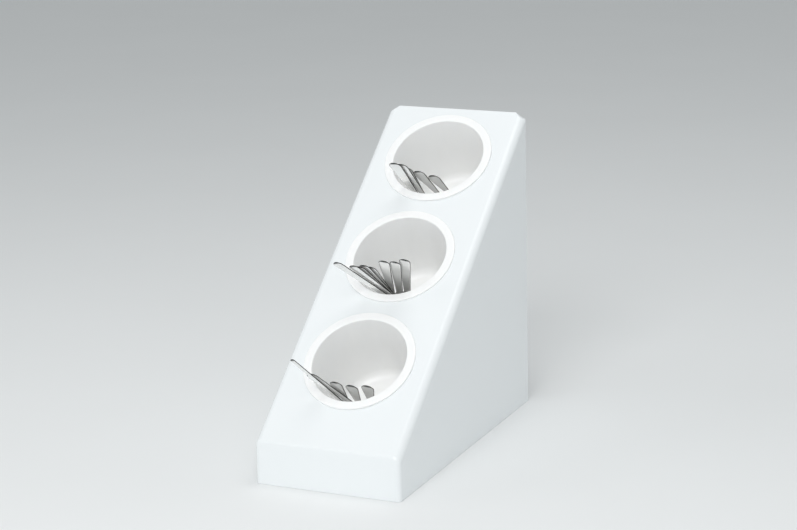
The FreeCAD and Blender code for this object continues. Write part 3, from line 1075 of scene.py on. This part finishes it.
@dataclass
class Fork(Cutlery):
    """A table fork with four tapered tines, set out by a Geometry Nodes tree."""

    head: float = 10.5 * MM
    head_from: float = 2.0 * MM
    head_full: float = 1.2
    head_length: float = 56.0 * MM
    neck_end: float = 1.3
    tines: float = 36.0 * MM
    tine_count: int = 4
    tine_root: float = 3.0 * MM
    tine_overlap: float = 1.5 * MM
    tine_widths: tuple[Point, ...] = ((0.0, 0.22), (0.35, 0.42), (1.0, 0.5))
    tine_gauges: tuple[Point, ...] = ((0.0, 0.55), (0.5, 0.85))
    tine_tip: float = 0.28
    tine_ring: int = 16
    root_gauge: float = 0.9
    slot_width: float = 2.4 * MM

    def head_widths(self) -> list[Point]:
        """Return the key half widths from tine root to neck."""
        return [(self.tines - self.head_from, self.head),
                (self.tines * self.head_full, self.head),
                (self.head_length, self.neck), (self.head_length * self.neck_end, self.neck)]

    def bars(self, length: float) -> list[Bar]:
        """Return the fork's body behind its tines."""
        start = self.tines - self.tine_overlap
        return [Bar(start, length, self.width(length), self.thickness(length))]

    def tine(self, width: float) -> bpy.types.Mesh:
        """Make one tine, from its tip.

        Args:
            width: Width at its root.

        Returns:
            The tine's mesh.
        """
        end = self.tines + self.tine_root
        line = Eased([*keyed(self.tine_widths, self.tines, width), (end, width / 2)])
        tip = RoundEnd(width * self.tine_tip, 0.0)
        gauge = Eased([*keyed(self.tine_gauges, self.tines, self.gauge),
                       (end, self.gauge * self.root_gauge)])
        work = bmesh.new()
        Bar(0.0, end, lambda x: max(self.least_half, min(line(x), tip(-x))), gauge,
            ring=self.tine_ring).into(work)
        return poured(work, "tine")

    def row_tree(self) -> Tree:
        """Build the tree that repeats one tine across the head.

        Returns:
            The tree.
        """
        tree = Tree("tine_row", {"Count": "NodeSocketInt", "Pitch": "NodeSocketFloat",
                                 "Finish": "NodeSocketMaterial"})
        given = tree.given
        step = tree.add("ShaderNodeCombineXYZ", {"Y": given["Pitch"]})
        last = tree.math("SUBTRACT", given["Count"], 1.0)
        back = tree.math("MULTIPLY", tree.math("MULTIPLY", last, given["Pitch"]), -0.5)
        first = tree.add("ShaderNodeCombineXYZ", {"Y": back})
        line = tree.add("GeometryNodeMeshLine",
                        {"Count": given["Count"], "Start Location": first.outputs["Vector"],
                         "Offset": step.outputs["Vector"]})
        row = tree.add("GeometryNodeInstanceOnPoints",
                       {"Points": line.outputs["Mesh"], "Instance": given["Geometry"]})
        tree.close(row.outputs["Instances"])
        return tree

    def extras(self) -> list[bpy.types.Object]:
        """Return the row of tines."""
        width = (2 * self.head - (self.tine_count - 1) * self.slot_width) / self.tine_count
        return [self.row_tree().run(self.tine(width), f"{self.node}_tines", {
            "Count": self.tine_count, "Pitch": width + self.slot_width, "Finish": self.finish})]


@dataclass
class Knife(Cutlery):
    """A table knife with a straight back, a ground edge and a rounded tip."""

    handle: float = 7.5 * MM
    blade: float = 8.0 * MM
    blade_length: float = 72.0 * MM
    shoulder: float = 4.5 * MM
    shoulder_at: float = 1.06
    tip: float = 12.0 * MM
    tip_drop: float = 1.4
    tip_curve: float = 2.2
    tooth: float = 0.25 * MM
    tooth_pitch: float = 2.4 * MM
    toothed: Point = (1.2, 0.75)
    grind: tuple[Point, ...] = ((0.0, 0.7), (0.94, 0.7), (1.08, 0.0))
    blade_step: float = 0.6 * MM

    def head_widths(self) -> list[Point]:
        """Return the key half widths from blade to shoulder."""
        return [(0.0, self.blade), (self.blade_length, self.blade),
                (self.blade_length * self.shoulder_at, self.shoulder)]

    def cutting_edge(self, x: float, half: float) -> float:
        """Draw the ground side, which curves up to the tip and is finely toothed behind it.

        Args:
            x: Place along the knife.
            half: Half width there.

        Returns:
            Where the edge runs across the blade.
        """
        if x < self.tip:
            share = 1.0 - x / self.tip
            return -self.blade + (self.tip_drop * self.blade) * share ** self.tip_curve
        first, last = self.toothed
        if self.tip * first < x < self.blade_length * last:
            return self.tooth * abs(math.sin(math.pi * x / self.tooth_pitch)) - half
        return -half

    def bars(self, length: float) -> list[Bar]:
        """Return the knife's one bar, with its ground and toothed edge."""
        half = self.width(length)
        ground = Eased([*keyed(self.grind, self.blade_length, 1.0), (length, 0.0)])
        return [Bar(0.0, length, half, self.thickness(length), step=self.blade_step,
                    low_edge=lambda x: self.cutting_edge(x, half(x)), bevel=ground)]


@dataclass
class Spoon(Cutlery):
    """A spoon with a hollowed bowl."""

    handle: float = 8.5 * MM
    bowl: float = 14.0 * MM
    bowl_length: float = 44.0 * MM
    bowl_widths: tuple[Point, ...] = ((0.0, 1.0), (0.25, 0.95), (0.5, 0.78), (0.8, 0.42))
    neck_end: float = 1.4
    hollow: float = 1.15 * MM
    hollow_depths: tuple[Point, ...] = ((0.0, 0.0), (0.16, 0.8), (0.4, 1.0), (0.7, 0.6),
                                        (0.95, 0.0))

    def head_widths(self) -> list[Point]:
        """Return the key half widths from bowl to neck."""
        taper = keyed(self.bowl_widths, self.bowl_length - self.bowl, self.bowl)
        return [(0.0, self.bowl), *((self.bowl + x, half) for x, half in taper),
                (self.bowl_length, self.neck), (self.bowl_length * self.neck_end, self.neck)]

    def head_round(self, x: float) -> float:
        """Return the greatest half width in the bowl's round end."""
        return RoundEnd(self.bowl, 0.0)(-x)

    def bars(self, length: float) -> list[Bar]:
        """Return the spoon's one bar, hollowed at its bowl."""
        depths = keyed(self.hollow_depths, self.bowl_length, self.hollow)
        return [Bar(0.0, length, self.width(length), self.thickness(length),
                    dish=Eased([*depths, (length, 0.0)]))]


@dataclass
class LongSpoon(Spoon):
    """A long slim spoon for tall glasses."""

    handle: float = 3.25 * MM
    bowl: float = 10.0 * MM


MAKERS: dict[Kind, type[Cutlery]] = {
    Kind.FORK: Fork, Kind.KNIFE: Knife, Kind.LONG_SPOON: LongSpoon, Kind.SPOON: Spoon}


@dataclass
class CutleryStock:
    """All the cutlery in the cups."""

    finish: SteelFinish = field(default_factory=SteelFinish)

    def kind_of(self, node: str) -> Kind | None:
        """Return the kind that a node's name states, or None for a node that isn't cutlery."""
        return next((kind for kind in MAKERS if node.startswith(f"{kind.value}_")), None)

    def build(self) -> None:
        """Make every piece of cutlery in the frame."""
        steel = self.finish.material()
        for node in sorted(frame["nodes"]):
            kind = self.kind_of(node)
            if kind:
                MAKERS[kind](node, steel).build()


# Studio


@dataclass
class Lamp:
    """A soft box of white light aimed at the dispenser."""

    name: str
    spot: Vector
    aim: Vector
    width: float
    height: float
    power: float

    def build(self) -> None:
        """Hang the lamp."""
        light = bpy.data.lights.new(self.name, "AREA")
        light.shape = "RECTANGLE"
        light.size, light.size_y = self.width, self.height
        light.energy = self.power
        lamp = bpy.data.objects.new(self.name, light)
        lamp.location = self.spot
        lamp.rotation_euler = (self.aim - self.spot).to_track_quat("-Z", "Y").to_euler()
        bpy.context.scene.collection.objects.link(lamp)


@dataclass
class Studio:
    """Floor, light and camera."""

    floor_half: float = 30.0
    floor_level: float = -0.2 * MM
    sky_colour: Colour = (0.945, 0.985, 1.0)
    horizon: float = 0.65
    zenith: float = 0.42
    zenith_from: float = 0.8
    azimuth: float = math.radians(24.655)
    elevation: float = math.radians(14.455)
    roll: float = math.radians(-1.379)
    distance: float = 2.83031
    target: Vector = field(default_factory=lambda: Vector((0.05939, 0.0970, 0.273345)))
    lens: float = 102.92
    sensor: float = 36.0
    farthest: float = 50.0
    lamps: list[Lamp] = field(default_factory=lambda: [
        Lamp("key", Vector((0.55, -2.1, 2.0)), Vector((0.0, 0.15, 0.2)), 1.8, 1.4, 40.0),
        Lamp("fill", Vector((-2.2, -1.0, 1.3)), Vector((0.0, 0.15, 0.2)), 1.4, 1.2, 6.0),
        Lamp("overhead", Vector((0.3, 0.5, 2.6)), Vector((0.0, 0.2, 0.25)), 1.6, 1.6, 13.0),
    ])

    def floor(self) -> None:
        """Lay the floor, a hair below the stand's foot."""
        half, level = self.floor_half, self.floor_level
        corners = [(-half, -half, level), (half, -half, level), (half, half, level),
                   (-half, half, level)]
        mesh = bpy.data.meshes.new("table_top")
        mesh.from_pydata(corners, [], [(0, 1, 2, 3)])
        mesh.materials.append(TableFinish().material())
        place("table_top", mesh)

    def sky(self) -> None:
        """Light the room: pale round the horizon and darker overhead."""
        world = bpy.data.worlds.new("studio")
        bpy.context.scene.world = world
        world.use_nodes = True
        nodes, links = world.node_tree.nodes, world.node_tree.links
        read = nodes.new("ShaderNodeTexCoord")
        split = nodes.new("ShaderNodeSeparateXYZ")
        ranged = nodes.new("ShaderNodeMapRange")
        ranged.interpolation_type = "SMOOTHSTEP"
        ranged.inputs["From Max"].default_value = self.zenith_from
        ranged.inputs["To Min"].default_value = self.horizon
        ranged.inputs["To Max"].default_value = self.zenith
        links.new(read.outputs["Generated"], split.inputs["Vector"])
        links.new(split.outputs["Z"], ranged.inputs["Value"])
        links.new(ranged.outputs["Result"], nodes["Background"].inputs["Strength"])
        nodes["Background"].inputs["Color"].default_value = (*self.sky_colour, 1.0)

    def camera(self) -> None:
        """Set the camera where the photograph was taken from."""
        level = math.cos(self.elevation)
        forward = Vector((-math.sin(self.azimuth) * level, math.cos(self.azimuth) * level,
                          -math.sin(self.elevation)))
        right = Vector((math.cos(self.azimuth), math.sin(self.azimuth), 0.0))
        upright = right.cross(forward)
        across = right * math.cos(self.roll) + upright * math.sin(self.roll)
        up = upright * math.cos(self.roll) - right * math.sin(self.roll)
        turn = Matrix((across, up, -forward)).transposed().to_4x4()
        data = bpy.data.cameras.new("camera")
        data.sensor_fit = "HORIZONTAL"
        data.sensor_width = self.sensor
        data.lens = self.lens
        data.clip_end = self.farthest
        camera = bpy.data.objects.new("camera", data)
        camera.matrix_world = Matrix.Translation(self.target - forward * self.distance) @ turn
        bpy.context.scene.collection.objects.link(camera)
        bpy.context.scene.camera = camera

    def build(self) -> None:
        """Set up the whole studio."""
        self.floor()
        self.sky()
        self.camera()
        for lamp in self.lamps:
            lamp.build()
        bpy.context.scene.view_settings.view_transform = "Standard"
        log.info("studio: %d lamps", len(self.lamps))


def main() -> None:
    """Build the dispenser and its studio."""
    logging.basicConfig(level=logging.INFO, format="%(name)s: %(message)s")
    Stand().build()
    CupRack().build()
    CutleryStock().build()
    Studio().build()


if __name__ == "__main__":
    main()
